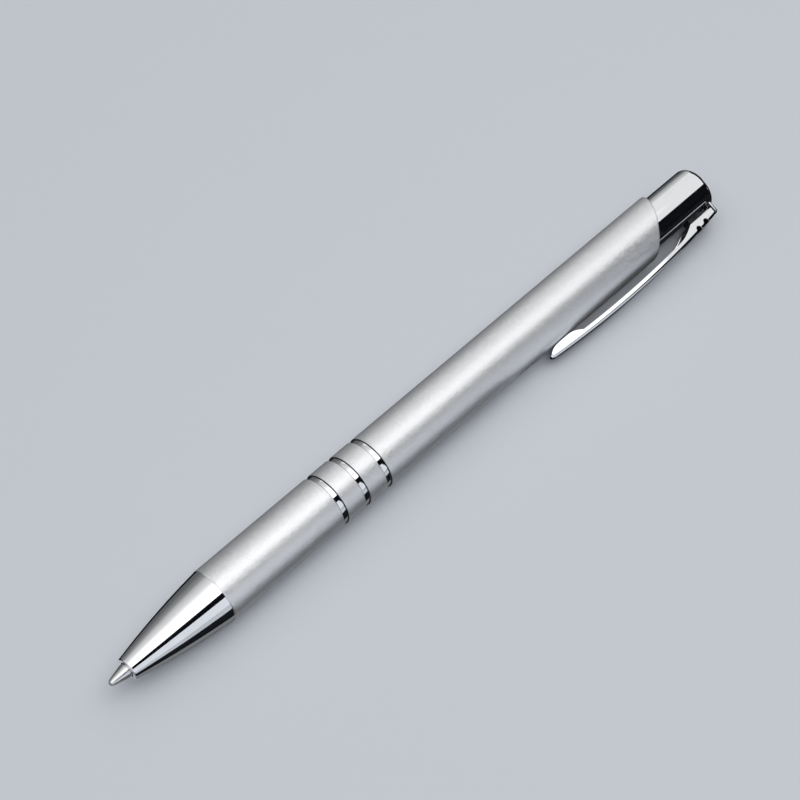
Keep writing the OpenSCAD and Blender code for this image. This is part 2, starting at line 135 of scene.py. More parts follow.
def turnPiece(name, profile, steps=192, angle=2 * math.pi):
    # one vertex is walked along the profile, and the profile is spun about the pen's axis
    clearSelection()
    bpy.ops.mesh.primitive_plane_add(size=mm)
    piece = bpy.context.object
    piece.name = piece.data.name = name
    bpy.ops.object.mode_set(mode='EDIT')
    bpy.ops.mesh.select_mode(type='VERT')
    bpy.ops.mesh.select_all(action='SELECT')
    bpy.ops.mesh.merge(type='CENTER')
    bpy.ops.transform.translate(value=(profile[0][0], 0, profile[0][1]))
    for (x0, r0), (x1, r1) in zip(profile, profile[1:]):
        bpy.ops.mesh.extrude_vertices_move(TRANSFORM_OT_translate={"value": (x1 - x0, 0, r1 - r0)})
    bpy.ops.mesh.select_all(action='SELECT')
    bpy.ops.mesh.remove_doubles(threshold=2 * near)
    bpy.ops.mesh.select_all(action='SELECT')
    bpy.ops.mesh.spin(steps=steps, angle=angle, center=(0, 0, 0), axis=(1, 0, 0))
    bpy.ops.mesh.select_all(action='SELECT')
    bpy.ops.mesh.remove_doubles(threshold=2 * near)
    faceOutwards()
    return piece


def selectEdges(piece, wanted):
    # leaves only the edges whose two ends satisfy wanted selected, in edit mode
    bpy.ops.object.mode_set(mode='EDIT')
    bpy.ops.mesh.select_mode(type='EDGE')
    bpy.ops.mesh.select_all(action='DESELECT')
    mesh = bmesh.from_edit_mesh(piece.data)
    for edge in mesh.edges:
        if wanted(edge.verts[0].co, edge.verts[1].co):
            edge.select_set(True)
    mesh.select_flush_mode()
    bmesh.update_edit_mesh(piece.data)


def applyAll(piece):
    bpy.context.view_layer.objects.active = piece
    for modifier in list(piece.modifiers):
        bpy.ops.object.modifier_apply(modifier=modifier.name)


def cutWith(piece, cutter, operation='DIFFERENCE'):
    pick(piece)
    boolean = piece.modifiers.new("cut", 'BOOLEAN')
    boolean.operation = operation
    boolean.solver = 'EXACT'
    boolean.object = cutter
    applyAll(piece)
    bpy.data.objects.remove(cutter, do_unlink=True)


def polish(piece, angle=34):
    # flat faces keep their own normals, so that reflections run straight up to the small rounded edges
    pick(piece)
    bpy.ops.object.shade_smooth_by_angle(angle=math.radians(angle))
    weighted = piece.modifiers.new("normals", 'WEIGHTED_NORMAL')
    weighted.keep_sharp = True
    weighted.weight = 60
    applyAll(piece)


def finishPiece(piece, material, body, slot, *standsFor, extras=()):
    # extras are (material, test) pairs; a face takes the first one whose test it passes
    # a piece given no body here is left unattached
    piece.data.materials.clear()
    for finish in [material] + [pair[0] for pair in extras]:
        piece.data.materials.append(finish)
    for face in piece.data.polygons:
        passed = [i for i, pair in enumerate(extras) if pair[1](face)]
        face.material_index = passed[0] + 1 if passed else 0
    if body:
        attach(piece, body)
    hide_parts(*standsFor)
    print(piece.name, len(piece.data.polygons), "faces")


# shader groups

outputKinds = {"Color": 'NodeSocketColor', "Roughness": 'NodeSocketFloat', "Height": 'NodeSocketFloat',
               "Normal": 'NodeSocketVector'}


def newGroup(name, inputs, relief="Height"):
    # an input whose value is a tuple is a colour; relief is the third output
    group = bpy.data.node_groups.new(name, 'ShaderNodeTree')
    for label, value in inputs.items():
        isColor = isinstance(value, tuple)
        kind = 'NodeSocketColor' if isColor else 'NodeSocketFloat'
        socket = group.interface.new_socket(name=label, in_out='INPUT', socket_type=kind)
        socket.default_value = (*value, 1) if isColor else value
    for label in ("Color", "Roughness", relief):
        group.interface.new_socket(name=label, in_out='OUTPUT', socket_type=outputKinds[label])
    return group, group.nodes.new('NodeGroupInput'), group.nodes.new('NodeGroupOutput')


def rangeNode(tree, source, low, high, toLow=0.0, toHigh=1.0):
    node = tree.nodes.new('ShaderNodeMapRange')
    node.inputs["From Min"].default_value = low
    node.inputs["From Max"].default_value = high
    node.inputs["To Min"].default_value = toLow
    node.inputs["To Max"].default_value = toHigh
    tree.links.new(source, node.inputs["Value"])
    return node


def mathNode(tree, operation, a, b):
    node = tree.nodes.new('ShaderNodeMath')
    node.operation = operation
    tree.links.new(a, node.inputs[0])
    tree.links.new(b, node.inputs[1])
    return node


def mixInputs(group, given, result, factor, low, high, output):
    # two of a group's inputs, mixed by factor, become one of its outputs
    mix = group.nodes.new('ShaderNodeMix')
    if output == "Color":
        mix.data_type = 'RGBA'
    group.links.new(factor, mix.inputs["Factor"])
    group.links.new(given.outputs[low], mix.inputs["A"])
    group.links.new(given.outputs[high], mix.inputs["B"])
    group.links.new(mix.outputs["Result"], result.inputs[output])


grainLook = {"detail": 2, "cellRatio": 1.7, "cellHeight": 0.6, "tintRange": (0.32, 0.68)}


def makeGrainGroup(s):
    # fine grain: a pale and a dark tint, small cells of gloss, and a height
    group, given, result = newGroup("flakeGrain", {
        "Pale": (0.8, 0.8, 0.8), "Dark": (0.5, 0.5, 0.5), "Grain Scale": 5000, "Smooth": 0.3, "Rough": 0.4})
    place = group.nodes.new('ShaderNodeTexCoord')
    fine = group.nodes.new('ShaderNodeTexNoise')
    fine.inputs["Detail"].default_value = s["detail"]
    cells = group.nodes.new('ShaderNodeTexVoronoi')
    smaller = group.nodes.new('ShaderNodeMath')
    smaller.operation = 'MULTIPLY'
    smaller.inputs[1].default_value = s["cellRatio"]
    height = group.nodes.new('ShaderNodeMath')
    height.operation = 'MULTIPLY_ADD'
    height.inputs[1].default_value = s["cellHeight"]
    link = group.links.new
    link(place.outputs["Object"], fine.inputs["Vector"])
    link(place.outputs["Object"], cells.inputs["Vector"])
    link(given.outputs["Grain Scale"], fine.inputs["Scale"])
    link(given.outputs["Grain Scale"], smaller.inputs[0])
    link(smaller.outputs[0], cells.inputs["Scale"])
    spread = rangeNode(group, fine.outputs["Fac"], *s["tintRange"])
    mixInputs(group, given, result, spread.outputs[0], "Dark", "Pale", "Color")
    mixInputs(group, given, result, cells.outputs["Distance"], "Smooth", "Rough", "Roughness")
    link(cells.outputs["Distance"], height.inputs[0])
    link(fine.outputs["Fac"], height.inputs[2])
    link(height.outputs[0], result.inputs["Height"])
    return group


handlingLook = {
    "smearDetail": 5, "smearRoughness": 0.6, "smearRange": (0.48, 0.74), "hairScale": (260, 5200, 5200),
    "hairDetail": 3, "hairRange": (0.66, 0.78), "hairMost": 0.6}


def makeHandlingGroup(s):
    # faint smears and hairlines that handling leaves on polished plating
    group, given, result = newGroup("handlingMarks", {
        "Clean": (0.86, 0.87, 0.89), "Smeared": (0.8, 0.81, 0.83), "Polished": 0.03, "Worn": 0.1, "Smear Scale": 260})
    place = group.nodes.new('ShaderNodeTexCoord')
    smear = group.nodes.new('ShaderNodeTexNoise')
    smear.inputs["Detail"].default_value = s["smearDetail"]
    smear.inputs["Roughness"].default_value = s["smearRoughness"]
    squeeze = group.nodes.new('ShaderNodeMapping')
    squeeze.inputs["Scale"].default_value = s["hairScale"]
    hair = group.nodes.new('ShaderNodeTexNoise')
    hair.inputs["Scale"].default_value = 1
    hair.inputs["Detail"].default_value = s["hairDetail"]
    link = group.links.new
    link(place.outputs["Object"], smear.inputs["Vector"])
    link(given.outputs["Smear Scale"], smear.inputs["Scale"])
    link(place.outputs["Object"], squeeze.inputs["Vector"])
    link(squeeze.outputs[0], hair.inputs["Vector"])
    smears = rangeNode(group, smear.outputs["Fac"], *s["smearRange"])
    hairs = rangeNode(group, hair.outputs["Fac"], *s["hairRange"], 0.0, s["hairMost"])
    together = mathNode(group, 'MAXIMUM', smears.outputs[0], hairs.outputs[0])
    mixInputs(group, given, result, together.outputs[0], "Clean", "Smeared", "Color")
    mixInputs(group, given, result, together.outputs[0], "Polished", "Worn", "Roughness")
    link(hair.outputs["Fac"], result.inputs["Height"])
    return group


turnedLook = {"ringScale": (9000, 60, 60), "detail": 2, "tintRange": (0.3, 0.7)}


def makeTurnedGroup(s):
    # fine rings that a lathe tool leaves round the pen's axis
    group, given, result = newGroup("latheRings", {
        "Bright": (0.8, 0.8, 0.8), "Dull": (0.6, 0.6, 0.6), "Smooth": 0.2, "Rough": 0.35})
    place = group.nodes.new('ShaderNodeTexCoord')
    along = group.nodes.new('ShaderNodeMapping')
    along.inputs["Scale"].default_value = s["ringScale"]
    rings = group.nodes.new('ShaderNodeTexNoise')
    rings.inputs["Scale"].default_value = 1
    rings.inputs["Detail"].default_value = s["detail"]
    link = group.links.new
    link(place.outputs["Object"], along.inputs["Vector"])
    link(along.outputs[0], rings.inputs["Vector"])
    spread = rangeNode(group, rings.outputs["Fac"], *s["tintRange"])
    mixInputs(group, given, result, spread.outputs[0], "Bright", "Dull", "Color")
    mixInputs(group, given, result, spread.outputs[0], "Smooth", "Rough", "Roughness")
    link(rings.outputs["Fac"], result.inputs["Height"])
    return group


def makeFlakeGroup():
    # silver lacquer: each small flake has its own tint, gloss and tilt
    group, given, result = newGroup("silverFlake", {
        "Pale": (0.9, 0.9, 0.9), "Dark": (0.7, 0.7, 0.7), "Flake Scale": 6500, "Smooth": 0.3, "Rough": 0.45,
        "Tilt": 0.2}, relief="Normal")
    place = group.nodes.new('ShaderNodeTexCoord')
    surface = group.nodes.new('ShaderNodeNewGeometry')
    flakes = group.nodes.new('ShaderNodeTexVoronoi')
    parts = group.nodes.new('ShaderNodeSeparateColor')
    centred, tilted, added, unit = (group.nodes.new('ShaderNodeVectorMath') for k in range(4))
    centred.operation = 'SUBTRACT'
    centred.inputs[1].default_value = (0.5, 0.5, 0.5)
    tilted.operation = 'SCALE'
    added.operation = 'ADD'
    unit.operation = 'NORMALIZE'
    link = group.links.new
    link(place.outputs["Object"], flakes.inputs["Vector"])
    link(given.outputs["Flake Scale"], flakes.inputs["Scale"])
    link(flakes.outputs["Color"], parts.inputs[0])
    mixInputs(group, given, result, parts.outputs[0], "Dark", "Pale", "Color")
    mixInputs(group, given, result, parts.outputs[1], "Smooth", "Rough", "Roughness")
    link(flakes.outputs["Color"], centred.inputs[0])
    link(centred.outputs[0], tilted.inputs[0])
    link(given.outputs["Tilt"], tilted.inputs["Scale"])
    link(surface.outputs["Normal"], added.inputs[0])
    link(tilted.outputs[0], added.inputs[1])
    link(added.outputs[0], unit.inputs[0])
    link(unit.outputs[0], result.inputs["Normal"])
    return group


grainGroup = makeGrainGroup(grainLook)
flakeGroup = makeFlakeGroup()
handlingGroup = makeHandlingGroup(handlingLook)
turnedGroup = makeTurnedGroup(turnedLook)
print("shader groups made")


def makeMaterial(name, group, values, metallic=1.0, bump=0.0, depth=0.0):
    # one group feeds colour, roughness and either the normal or a bump; what is the same all over is set on the shader
    material = bpy.data.materials.new(name)
    material.use_nodes = True
    tree = material.node_tree
    shader = tree.nodes["Principled BSDF"]
    effect = tree.nodes.new('ShaderNodeGroup')
    effect.node_tree = group
    for label, value in values.items():
        effect.inputs[label].default_value = (*value, 1) if isinstance(value, tuple) else value
    tree.links.new(effect.outputs["Color"], shader.inputs["Base Color"])
    tree.links.new(effect.outputs["Roughness"], shader.inputs["Roughness"])
    if "Normal" in effect.outputs:
        tree.links.new(effect.outputs["Normal"], shader.inputs["Normal"])
    else:
        bumpNode = tree.nodes.new('ShaderNodeBump')
        bumpNode.inputs["Strength"].default_value = bump
        bumpNode.inputs["Distance"].default_value = depth
        tree.links.new(effect.outputs["Height"], bumpNode.inputs["Height"])
        tree.links.new(bumpNode.outputs[0], shader.inputs["Normal"])
    shader.inputs["Metallic"].default_value = metallic
    return material


satinSilver = makeMaterial(
    "satinSilver", flakeGroup,
    {"Pale": (0.97, 0.975, 0.985), "Dark": (0.77, 0.78, 0.8), "Flake Scale": 11000, "Smooth": 0.32, "Rough": 0.48,
     "Tilt": 0.22}, metallic=0.82)
# painted shade for the barrel's groove walls and floors
grooveShade = makeMaterial(
    "grooveShade", grainGroup,
    {"Pale": (0.1, 0.1, 0.105), "Dark": (0.05, 0.05, 0.055), "Grain Scale": 6000, "Smooth": 0.4, "Rough": 0.6},
    metallic=0.6, bump=0.1, depth=4e-6)
bareEdge = makeMaterial(
    "bareEdge", handlingGroup,
    {"Clean": (0.88, 0.89, 0.91), "Smeared": (0.78, 0.79, 0.82), "Polished": 0.28, "Worn": 0.45, "Smear Scale": 900},
    bump=0.2, depth=6e-6)
# painted highlight for the button slot's long edges: near-white and barely metallic
slotEdgeHighlight = makeMaterial(
    "slotEdgeHighlight", handlingGroup,
    {"Clean": (0.95, 0.95, 0.96), "Smeared": (0.86, 0.86, 0.88), "Polished": 0.35, "Worn": 0.5, "Smear Scale": 900},
    metallic=0.1, bump=0.2, depth=6e-6)
noseChrome = makeMaterial("noseChrome", handlingGroup, {"Smear Scale": 240}, bump=0.02, depth=2e-6)
ringChrome = makeMaterial("ringChrome", handlingGroup, {"Smear Scale": 700, "Worn": 0.07}, bump=0.02, depth=2e-6)
buttonChrome = makeMaterial("buttonChrome", handlingGroup, {"Smear Scale": 330, "Worn": 0.12}, bump=0.02, depth=2e-6)
clipChrome = makeMaterial("clipChrome", handlingGroup, {"Smear Scale": 420, "Worn": 0.09}, bump=0.02, depth=2e-6)
# painted shade for the clip's web and bead down in the button's slot: near-black instead of chrome
webPaintedShade = makeMaterial(
    "webPaintedShade", handlingGroup,
    {"Clean": (0.035, 0.035, 0.038), "Smeared": (0.02, 0.02, 0.022), "Polished": 0.35, "Worn": 0.55,
     "Smear Scale": 900},
    bump=0.15, depth=5e-6)
# painted shade for the clip's hollow and the neck before its lip
hollowPaintedShade = makeMaterial(
    "hollowPaintedShade", handlingGroup,
    {"Clean": (0.1, 0.1, 0.105), "Smeared": (0.06, 0.06, 0.065), "Polished": 0.35, "Worn": 0.55, "Smear Scale": 900},
    bump=0.15, depth=5e-6)
tipMetal = makeMaterial(
    "tipMetal", turnedGroup,
    {"Bright": (0.75, 0.75, 0.755), "Dull": (0.68, 0.68, 0.685), "Smooth": 0.2, "Rough": 0.3}, bump=0.06, depth=2e-6)
ballCarbide = makeMaterial(
    "ballCarbide", grainGroup,
    {"Pale": (0.42, 0.42, 0.44), "Dark": (0.3, 0.3, 0.32), "Grain Scale": 9000, "Smooth": 0.12, "Rough": 0.25},
    bump=0.05, depth=2e-6)
turnedBrass = makeMaterial(
    "turnedBrass", turnedGroup,
    {"Bright": (0.84, 0.66, 0.36), "Dull": (0.66, 0.5, 0.25), "Smooth": 0.24, "Rough": 0.4}, bump=0.15, depth=4e-6)
drawnSteel = makeMaterial(
    "drawnSteel", handlingGroup,
    {"Clean": (0.66, 0.67, 0.69), "Smeared": (0.55, 0.56, 0.58), "Polished": 0.2, "Worn": 0.36, "Smear Scale": 500},
    bump=0.1, depth=3e-6)
springSteel = makeMaterial(
    "springSteel", turnedGroup,
    {"Bright": (0.64, 0.66, 0.7), "Dull": (0.48, 0.5, 0.54), "Smooth": 0.2, "Rough": 0.34}, bump=0.1, depth=3e-6)
darkAcetal = makeMaterial(
    "darkAcetal", grainGroup,
    {"Pale": (0.05, 0.05, 0.055), "Dark": (0.03, 0.03, 0.034), "Grain Scale": 2600, "Smooth": 0.4, "Rough": 0.55},
    metallic=0.0, bump=0.12, depth=5e-6)
whiteAcetal = makeMaterial(
    "whiteAcetal", grainGroup,
    {"Pale": (0.8, 0.8, 0.77), "Dark": (0.72, 0.72, 0.69), "Grain Scale": 2600, "Smooth": 0.4, "Rough": 0.55},
    metallic=0.0, bump=0.12, depth=5e-6)
inkPaste = makeMaterial(
    "inkPaste", handlingGroup,
    {"Clean": (0.012, 0.018, 0.1), "Smeared": (0.02, 0.03, 0.14), "Polished": 0.12, "Worn": 0.3, "Smear Scale": 600},
    metallic=0.0, bump=0.05, depth=5e-6)
print("materials made")


# nose cone: long bowed taper, hollow for spring and refill, with its screwed shank

noseSizes = {
    "length": 18.4, "frontRadius": 2.09, "frontRound": 0.35, "backRadius": 4.95, "backRound": 0.05, "bowRadius": 150,
    "sideStart": -18.02, "sideRadius": 2.16, "holeRadius": 1.4, "holeRound": 0.08, "seat": -15.2, "springBore": 2.0,
    "refillBoreStart": -9.35, "refillBore": 3.16, "shankRadius": 3.76, "shankLength": 8.0, "shankRound": 0.2,
    "boreRound": 0.1, "bowSteps": 30}


def makeNose(s):
    start = Vector((s["sideStart"], s["sideRadius"]))
    end = Vector((0, s["backRadius"]))
    chord = end - start
    lift = s["bowRadius"] - math.sqrt(s["bowRadius"] ** 2 - (chord.length / 2) ** 2)
    outward = Vector((-chord.y, chord.x)).normalized()
    side = []
    for k in range(1, s["bowSteps"]):
        u = k / s["bowSteps"]
        point = start.lerp(end, u) + outward * lift * 4 * u * (1 - u)
        side.append((point.x, point.y, 0))
    corners = [(-s["length"], s["holeRadius"], s["holeRound"]), (-s["length"], s["frontRadius"], s["frontRound"])]
    corners += side
    corners += [(0, s["backRadius"], s["backRound"]), (0, s["shankRadius"], 0),
                (s["shankLength"], s["shankRadius"], s["shankRound"]),
                (s["shankLength"], s["refillBore"], s["boreRound"]), (s["refillBoreStart"], s["refillBore"], 0),
                (s["refillBoreStart"], s["springBore"], s["boreRound"]), (s["seat"], s["springBore"], 0),
                (s["seat"], s["holeRadius"], s["boreRound"])]
    nose = turnPiece("noseShell", roundedProfile(corners))
    polish(nose)
    finishPiece(nose, noseChrome, "barrel", "polished_nose", "nose_cone")


makeNose(noseSizes)


# barrel: one tube with three ring grooves and a slanted, softened rim

barrelSizes = {
    "radius": 5.0, "chamfer": 0.15, "edgeRound": 0.05, "rimMiddle": 105.0, "rimSlant": 31, "rimRound": 0.16,
    "blankEnd": 110.0, "frontBore": 4.3, "frontBoreEnd": 8.3, "midBore": 3.72, "topBore": 4.4, "topBoreStart": 90.996,
    "grooves": (24.4, 29.4, 34.4), "grooveWidth": 1.15, "grooveFloor": 4.55, "grooveEdge": 0.07, "boreRound": 0.05,
    "rimSteps": 4, "bareOver": 0.03, "bareShare": 0.95}    # how far bright metal goes over the front edge and the rim


def makeBarrel(s):
    corners = [(0, s["frontBore"], s["boreRound"]), (0, s["radius"] - s["chamfer"], s["edgeRound"]),
               (s["chamfer"], s["radius"], s["edgeRound"])]
    for groove in s["grooves"]:
        far = groove + s["grooveWidth"]
        corners += [(groove, s["radius"], s["grooveEdge"]), (groove, s["grooveFloor"], 0),
                    (far, s["grooveFloor"], 0), (far, s["radius"], s["grooveEdge"])]
    corners += [(s["blankEnd"], s["radius"], 0), (s["blankEnd"], s["topBore"], 0), (s["topBoreStart"], s["topBore"], 0),
                (s["topBoreStart"], s["midBore"], s["boreRound"]), (s["frontBoreEnd"], s["midBore"], s["boreRound"]),
                (s["frontBoreEnd"], s["frontBore"], 0)]
    barrel = turnPiece("barrelTube", roundedProfile(corners))
    # the slanted rim is cut low on the clip's side, closed between its two loops and softened
    slant = math.radians(s["rimSlant"])
    cutPoint = Vector((seamX + s["rimMiddle"] * mm, 0, 0))
    cutNormal = Vector((math.cos(slant), 0, 0)) + clipWay * math.sin(slant)
    bpy.ops.object.mode_set(mode='EDIT')
    bpy.ops.mesh.select_all(action='SELECT')
    bpy.ops.mesh.bisect(plane_co=cutPoint, plane_no=cutNormal, clear_outer=True, threshold=0.1 * near)
    middle = (s["radius"] + s["topBore"]) / 2

    def fromRim(point):
        return abs((point - cutPoint).dot(cutNormal))

    def onRim(a, b):
        return fromRim(a) < near and fromRim(b) < near

    def roundRim(a, b):
        return onRim(a, b) and (fromAxis(a) > middle) == (fromAxis(b) > middle)

    selectEdges(barrel, onRim)
    bpy.ops.mesh.bridge_edge_loops()
    selectEdges(barrel, roundRim)
    bpy.ops.mesh.bevel(offset=s["rimRound"] * mm, segments=s["rimSteps"], affect='EDGES')
    faceOutwards()
    polish(barrel)

    # the coat is thin on the turned edges, where bright metal shows, and the groove walls and floors get painted shade
    def isBare(face):
        return (alongPen(face.center) < s["chamfer"] + s["bareOver"]
                or fromRim(face.center) < s["rimRound"] * s["bareShare"] * mm)

    def isGroove(face):
        along = alongPen(face.center)
        inside = any(-slack < along - groove < s["grooveWidth"] + slack for groove in s["grooves"])
        return inside and s["grooveFloor"] - 5 * slack < fromAxis(face.center) < s["radius"] - 5 * slack

    finishPiece(barrel, satinSilver, "barrel", "satin_barrel", "barrel",
                extras=[(bareEdge, isBare), (grooveShade, isGroove)])


makeBarrel(barrelSizes)


# trim rings: split bands with softened edges, lying low in the grooves

ringSizes = {
    "outer": 4.78, "inner": 4.57, "width": 0.95, "edge": 0.05, "split": 0.3,
    "places": (("ringFront", 24.5, "trim_ring_front"), ("ringMiddle", 29.5, "trim_ring_middle"),
               ("ringRear", 34.5, "trim_ring_rear"))}


def makeRing(name, start, s, standsFor):
    end = start + s["width"]
    corners = [(start, s["inner"], 0), (start, s["outer"], s["edge"]),
               (end, s["outer"], s["edge"]), (end, s["inner"], 0)]
    gap = s["split"] / s["outer"]
    ring = turnPiece(name, roundedProfile(corners), angle=2 * math.pi - gap)
    bpy.ops.object.mode_set(mode='EDIT')
    bpy.ops.mesh.select_all(action='SELECT')
    # the spin starts on top; half a turn puts the split underneath
    bpy.ops.transform.rotate(value=math.pi + gap / 2, orient_axis='X', center_override=(0, 0, 0))
    closeEnds()
    faceOutwards()
    polish(ring)
    finishPiece(ring, ringChrome, "barrel", "polished_ring", standsFor)


for ringName, ringStart, ringNode in ringSizes["places"]:
    makeRing(ringName, ringStart, ringSizes, ringNode)


# push button: thin cap with a rounded end, slotted on the clip's side

buttonSizes = {
    "radius": 4.3, "skirtEnd": 94.296, "end": 118.4, "edgeRound": 1.3, "hollow": 3.8, "hollowEnd": 117.0,
    "pegRadius": 1.22, "pegEnd": 117.62, "skirtRound": 0.1, "hollowRound": 0.2, "roundSteps": 10, "smoothAngle": 30,
    "slotWidth": 5.6, "slotEnd": 115.9, "slotSoft": 0.16, "slotSteps": 3, "brightShare": 0.9,
    "barOver": 2, "barHeight": 6, "barOut": 5.0}    # the bar that cuts the slot


def makeButton(s):
    corners = [(s["end"], 0, 0), (s["end"], s["radius"], s["edgeRound"]), (s["slotEnd"], s["radius"], 0),
               (s["skirtEnd"], s["radius"], s["skirtRound"]), (s["skirtEnd"], s["hollow"], s["skirtRound"]),
               (s["slotEnd"], s["hollow"], 0), (s["hollowEnd"], s["hollow"], s["hollowRound"]),
               (s["hollowEnd"], s["pegRadius"], 0), (s["pegEnd"], s["pegRadius"], 0), (s["pegEnd"], 0, 0)]
    button = turnPiece("buttonCap", roundedProfile(corners, closed=False, steps=s["roundSteps"]))
    # a bar lying along the clip's side cuts the slot
    length = s["slotEnd"] - s["skirtEnd"] + s["barOver"]
    clearSelection()
    bpy.ops.mesh.primitive_cube_add(size=1)
    bar = bpy.context.object
    bar.scale = (length * mm, s["slotWidth"] * mm, s["barHeight"] * mm)
    bar.location = Vector((seamX + (s["slotEnd"] - length / 2) * mm, 0, 0)) + clipWay * s["barOut"] * mm
    bar.rotation_euler = clipTurn
    bpy.ops.object.transform_apply()
    cutWith(button, bar)
    half = s["slotWidth"] / 2 * mm
    endX = seamX + s["slotEnd"] * mm

    def onSlot(a, b):
        ends = (a, b)
        if any(c.dot(clipWay) < 0 or fromAxis(c) < s["radius"] - slack for c in ends):
            return False
        along = all(abs(abs(c.dot(sideWay)) - half) < near and c.x < endX + near for c in ends)
        across = all(abs(c.x - endX) < near and abs(c.dot(sideWay)) < half + near for c in ends)
        return along or across

    selectEdges(button, onSlot)
    bpy.ops.mesh.bevel(offset=s["slotSoft"] * mm, segments=s["slotSteps"], affect='EDGES')
    bpy.ops.mesh.select_all(action='SELECT')
    bpy.ops.mesh.dissolve_degenerate(threshold=near)
    bpy.ops.object.mode_set(mode='OBJECT')
    polish(button, s["smoothAngle"])

    # the slot's long edges get a painted highlight: a near-white, barely metallic strip
    def isSlotHighlight(face):
        aside = abs(face.center.dot(sideWay)) - half
        return (face.center.dot(clipWay) > 0 and fromAxis(face.center) > s["hollow"] and face.center.x < endX
                and -slack * mm < aside < s["slotSoft"] * s["brightShare"] * mm)

    finishPiece(button, buttonChrome, "button", "polished_button", "push_button", extras=[(slotEdgeHighlight, isSlotHighlight)])


makeButton(buttonSizes)


# writing tip: turned cone with a rounded lip round the ball

tipSizes = {
    "lip": -21.77, "lipRadius": 0.51, "lipRound": 0.05, "endCone": -21.15, "endRadius": 0.72, "endRound": 0.9,
    "coneEnd": -18.85, "neck": 1.25, "neckRound": 1.5, "neckEnd": -13.05, "peg": 0.75, "pegEnd": -10.05,
    "shoulderRound": 0.05, "pegRound": 0.1, "ball": -21.6, "ballRadius": 0.465, "throat": 0.225, "channel": 0.4,
    "socketSteps": 10, "turnSteps": 96}


def makeTip(s):
    socket = []
    socketEnd = s["ball"] + math.sqrt(s["ballRadius"] ** 2 - s["throat"] ** 2)
    for k in range(s["socketSteps"] + 1):
        x = s["lip"] + (socketEnd - s["lip"]) * k / s["socketSteps"]
        socket.append((x, math.sqrt(s["ballRadius"] ** 2 - (x - s["ball"]) ** 2), 0))
    corners = socket[:1]
    corners += [(s["lip"], s["lipRadius"], s["lipRound"]), (s["endCone"], s["endRadius"], s["endRound"]),
                (s["coneEnd"], s["neck"], s["neckRound"]), (s["neckEnd"], s["neck"], s["shoulderRound"]),
                (s["neckEnd"], s["peg"], 0), (s["pegEnd"], s["peg"], s["pegRound"]), (s["pegEnd"], s["channel"], 0),
                (s["coneEnd"], s["channel"], 0), (s["coneEnd"], s["throat"], 0)]
    corners += socket[:0:-1]
    tip = turnPiece("tipCone", roundedProfile(corners), steps=s["turnSteps"])
    polish(tip)
    finishPiece(tip, tipMetal, "refill", "nickel_silver", "writing_tip")


makeTip(tipSizes)


# return spring: wire coil between the nose at its front end and the refill's shoulder at its back end

springSizes = {
    "low": -15.0, "high": -8.25, "turns": 7, "meanRadius": 1.62, "wireRadius": 0.18, "sides": 16, "steps": 48,
    "smoothAngle": 40}


def makeSpring(s):
    start = Vector((seamX + s["low"] * mm, 0, 0))
    end = Vector((seamX + s["high"] * mm, 0, 0))
    clearSelection()
    bpy.ops.mesh.primitive_circle_add(vertices=s["sides"], radius=s["wireRadius"] * mm)
    spring = bpy.context.object
    spring.name = spring.data.name = "springCoil"
    spring.rotation_euler = (math.pi / 2, 0, 0)
    spring.location = start + Vector((0, 0, s["meanRadius"] * mm))
    bpy.ops.object.transform_apply()
    coil = spring.modifiers.new("coil", 'SCREW')
    coil.axis = 'X'
    coil.iterations = s["turns"]
    coil.screw_offset = (end.x - start.x) / s["turns"]
    coil.steps = coil.render_steps = s["steps"]
    applyAll(spring)
    bpy.ops.object.mode_set(mode='EDIT')
    closeEnds()
    faceOutwards()
    polish(spring, s["smoothAngle"])
    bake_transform(spring)
    finishPiece(spring, springSteel, None, "spring_steel", "return_spring")


makeSpring(springSizes)


# clip: bowed bar, hollow underneath, with a thick foot, two cross grooves, an end lip and a bearing pad

clipSizes = {
    "tip": 73.5, "end": 116.8, "width": 5.0, "tipWidth": 1.8, "roundLength": 1.0, "tipShare": 0.25,
    "taperStart": 103.0, "taperPower": 1.6, "reach": 7.1, "bowRadius": 200, "bowMiddle": 91.5, "armSide": 0.66,
    "crown": 0.4, "crownShare": 0.5, "fillet": 0.52, "filletShare": 0.65, "filletRoom": 0.12, "filletSteps": 8,
    "edgeRound": 0.05, "edgeEase": 0.3, "support": 0.02, "tipRows": 16, "barRows": 160, "smoothAngle": 32,
    # foot and bearing pad
    "footStart": 110.7, "footSlope": 3.8, "footUnder": 4.5, "footRows": 8, "padMiddle": 77.7, "padLength": 4.2,
    "padSlope": 3.5, "padBlend": 2.5, "padRise": 1.0, "padPower": 4.5, "padGap": 0.06, "padSide": 0.4,
    # hollow: its ends, how much of its walls is as bright as the outside, and where the painted shade inside begins
    "hollow": (81.2, 110.7), "hollowRamp": 0.4, "wall": 0.5, "wallShare": 0.35, "plate": 0.55,
    "bright": 0.3, "brightShare": 0.6, "darkFrom": 0.85, "darkIn": 0.3,
    # cross grooves
    "grooves": (111.5, 113.6), "grooveRadius": 0.55, "grooveSteps": 14, "grooveRows": 5, "grooveOver": 0.05,
    "rimRound": 0.07, "rimEase": 0.13,
    # end lip and the neck before it
    "lip": 0.35, "lipStep": 0.15, "lipRound": 0.1, "lipSteps": 3, "lipUnder": 14, "lipSoft": 0.03, "endSoft": 0.06,
    "neck": 0.24, "neckStart": 1.4, "neckRun": 1.2, "neckRows": 8, "neckDark": 0.8, "neckEnd": 0.005,
    # web and bead
    "webStart": 111.6, "webEnd": 114.6, "webWidth": 2.2, "webRoot": 3.425, "webIn": 0.3, "webBelow": 0.03,
    "webPast": 0.2, "webBevel": 80, "beadAt": (113.9, 3.15), "beadRadius": 0.55, "beadWidth": 2.08, "beadSides": 64}


def clipEdge(s, z):
    return s["reach"] - (z - s["bowMiddle"]) ** 2 / (2 * s["bowRadius"])


